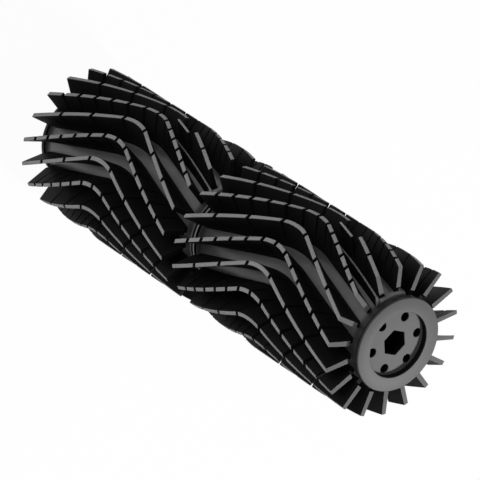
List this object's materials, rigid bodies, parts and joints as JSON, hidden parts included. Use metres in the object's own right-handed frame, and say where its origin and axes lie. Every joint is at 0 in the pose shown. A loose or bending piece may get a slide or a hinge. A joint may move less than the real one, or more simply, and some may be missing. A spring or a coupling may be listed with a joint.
{
  "type": "pool cleaner brush",
  "caption": "Roller brush for a robotic pool cleaner: rubber sleeves with slit chevron blades on a rigid core with a hex drive bore, standing on its end.",
  "frame": {"origin": "on the roller's axis, at the face of its lower end, on which it stands", "axes": "+Z along the roller's axis, up, towards the end disc that the picture shows; +X through the ends of one fine-toothed blade"},
  "size_m": [0.076, 0.076, 0.2582],
  "materials": {
    "core_plastic": "satin moulded",
    "brush_rubber": "matt moulded"
  },
  "bodies": {
    "root": {"core": "core_plastic", "brush_sleeve_lower": "brush_rubber", "brush_sleeve_upper": "brush_rubber"}
  },
  "joints": []
}
